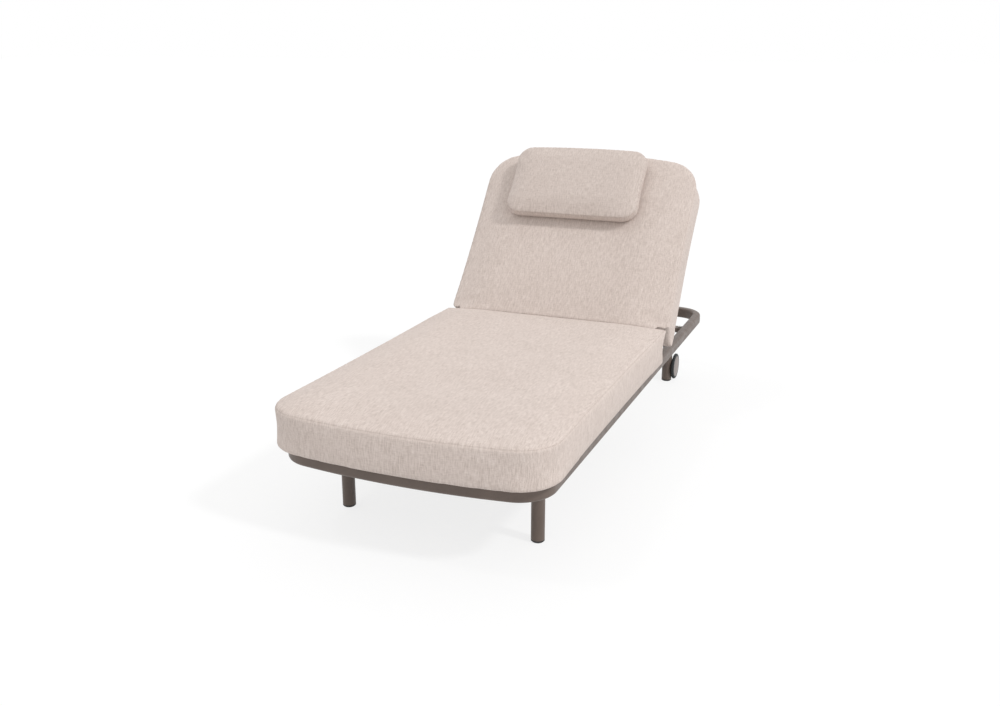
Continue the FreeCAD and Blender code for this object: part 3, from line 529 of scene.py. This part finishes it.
def webbing():
    """Black woven elastic webbing: ribs along the strap, crossed by the weft."""
    strap = Surface("woven_webbing", Sheen_Weight=0.1, Specular_IOR_Level=0.25)
    ribs = strap.weave(0.0032)
    tone = strap.weighed(ribs, 0.6, strap.noise((60, 900, 900), 2), 0.4)
    strap.colours(tone, (0.2, (0.020, 0.019, 0.018)), (0.8, (0.075, 0.070, 0.066)))
    strap.rough(strap.noise(120, 3), 0.72, 0.9)
    strap.bump(ribs, 0.0008)
    return strap.material


def hook_and_loop():
    """Napped tape: short curled fibres."""
    tape = Surface("napped_tape", Sheen_Weight=0.2, Specular_IOR_Level=0.2)
    fibres = tape.noise(1500, 4, 0.7)
    tape.colours(fibres, (0.3, (0.34, 0.29, 0.26)), (0.7, (0.58, 0.51, 0.47)))
    tape.rough(fibres, 0.85, 0.97)
    tape.bump(fibres, 0.0006)
    return tape.material


finishes = {
    "frame_paint": powder_coat(),
    "webbing": webbing(),
    "hook_and_loop": hook_and_loop(),
    "black_plastic": moulded("black_plastic", (0.022, 0.021, 0.020), (0.044, 0.042, 0.040), 0.45, 0.62),
    "wheel_plastic": moulded("wheel_plastic", (0.026, 0.026, 0.026), (0.050, 0.050, 0.050), 0.42, 0.6),
    "cap_plastic": moulded("cap_plastic", (0.235, 0.200, 0.186), (0.320, 0.276, 0.258), 0.4, 0.55),
    "tyre_rubber": rubber(),
    "fastener_steel": brushed_steel(),
}
for subpart in frame["record"]["subparts"]:
    finish = finishes.get(subpart["material_slot"])
    if finish:
        nodes[subpart["node"]].material_slots[0].material = finish

# Cushions

for node, body, form, end_at, place in (
    ("seat_cushion", "base", SEAT, seat_end, SEAT_PLACE),
    ("back_cushion", "back_cushion", BACK, back_end, BACK_PLACE),
    ("head_pillow", "pillow", PILLOW, pillow_end, PILLOW_PLACE),
):
    piece = cushion(f"{node}_cover", form, end_at, place)
    piece.data.materials.append(cushion_fabric(f"{node}_fabric", form))
    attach(piece, body)
    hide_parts(node)


# Studio: white floor and surround, soft light, camera

def seen_directly(tree):
    """1 for rays from the camera and for reflections, which show the bare white surround."""
    path = tree.nodes.new("ShaderNodeLightPath")
    total = path.outputs["Is Camera Ray"]
    for kind in ("Is Glossy Ray", "Is Transmission Ray"):
        most = tree.nodes.new("ShaderNodeMath")
        most.operation = "MAXIMUM"
        tree.links.new(total, most.inputs[0])
        tree.links.new(path.outputs[kind], most.inputs[1])
        total = most.outputs[0]
    return total


def make_surround(strength):
    world = bpy.data.worlds.new("surround")
    world.use_nodes = True
    scene.world = world
    tree = world.node_tree
    light = tree.nodes["Background"]
    light.inputs["Color"].default_value = (1, 1, 1, 1)
    light.inputs["Strength"].default_value = strength
    white = tree.nodes.new("ShaderNodeBackground")
    white.inputs["Color"].default_value = (1, 1, 1, 1)
    mixed = tree.nodes.new("ShaderNodeMixShader")
    tree.links.new(seen_directly(tree), mixed.inputs[0])
    tree.links.new(light.outputs[0], mixed.inputs[1])
    tree.links.new(white.outputs[0], mixed.inputs[2])
    tree.links.new(mixed.outputs[0], tree.nodes["World Output"].inputs["Surface"])


def make_floor(size, bounce, pale, glow_share):
    """Pale floor: it bounces part of the light, and the camera sees it white with a soft shadow."""
    mesh = bpy.data.meshes.new("floor")
    corners = [(-size, -size, 0), (size, -size, 0), (size, size, 0), (-size, size, 0)]
    mesh.from_pydata(corners, [], [(0, 1, 2, 3)])
    floor = bpy.data.objects.new("floor", mesh)
    scene.collection.objects.link(floor)
    paper = bpy.data.materials.new("white_floor")
    paper.use_nodes = True
    tree = paper.node_tree
    matte = tree.nodes["Principled BSDF"]
    seen = seen_directly(tree)
    tone = tree.nodes.new("ShaderNodeMapRange")
    tone.inputs["To Min"].default_value = bounce
    tone.inputs["To Max"].default_value = pale
    tree.links.new(seen, tone.inputs["Value"])
    tree.links.new(tone.outputs[0], matte.inputs["Base Color"])
    matte.inputs["Roughness"].default_value = 1
    matte.inputs["Specular IOR Level"].default_value = 0
    glow = tree.nodes.new("ShaderNodeEmission")
    share = tree.nodes.new("ShaderNodeMath")
    share.operation = "MULTIPLY"
    share.inputs[1].default_value = glow_share
    tree.links.new(seen, share.inputs[0])
    mixed = tree.nodes.new("ShaderNodeMixShader")
    tree.links.new(share.outputs[0], mixed.inputs[0])
    tree.links.new(matte.outputs[0], mixed.inputs[1])
    tree.links.new(glow.outputs[0], mixed.inputs[2])
    tree.links.new(mixed.outputs[0], tree.nodes["Material Output"].inputs["Surface"])
    mesh.materials.append(paper)


def make_lamp(name, azimuth, elevation, strength, spread):
    """Far soft lamp: azimuth 0 shines from the foot end, 90 from the lounger's right."""
    lamp = bpy.data.lights.new(name, "SUN")
    lamp.energy = strength
    lamp.angle = math.radians(spread)
    holder = bpy.data.objects.new(name, lamp)
    scene.collection.objects.link(holder)
    turn, lift = math.radians(azimuth), math.radians(elevation)
    source = Vector((math.sin(turn) * math.cos(lift), -math.cos(turn) * math.cos(lift), math.sin(lift)))
    holder.rotation_mode = "QUATERNION"
    holder.rotation_quaternion = source.to_track_quat("Z", "Y")


def make_camera():
    camera = bpy.data.cameras.new("camera")
    camera.sensor_fit = "HORIZONTAL"
    camera.sensor_width = 36
    camera.lens = 36.77
    holder = bpy.data.objects.new("camera", camera)
    holder.location = (1.1477, -3.0802, 1.3009)
    holder.rotation_euler = (math.radians(72.94), 0, math.radians(22.30))
    scene.collection.objects.link(holder)
    scene.camera = holder


make_surround(strength=0.78)
make_floor(size=60, bounce=0.75, pale=0.93, glow_share=0.8)
make_lamp("right", azimuth=80, elevation=44, strength=1.35, spread=7)
make_lamp("left", azimuth=-65, elevation=62, strength=0.25, spread=7)
make_lamp("rear", azimuth=180, elevation=55, strength=0.12, spread=40)
make_camera()
scene.view_settings.view_transform = "Standard"
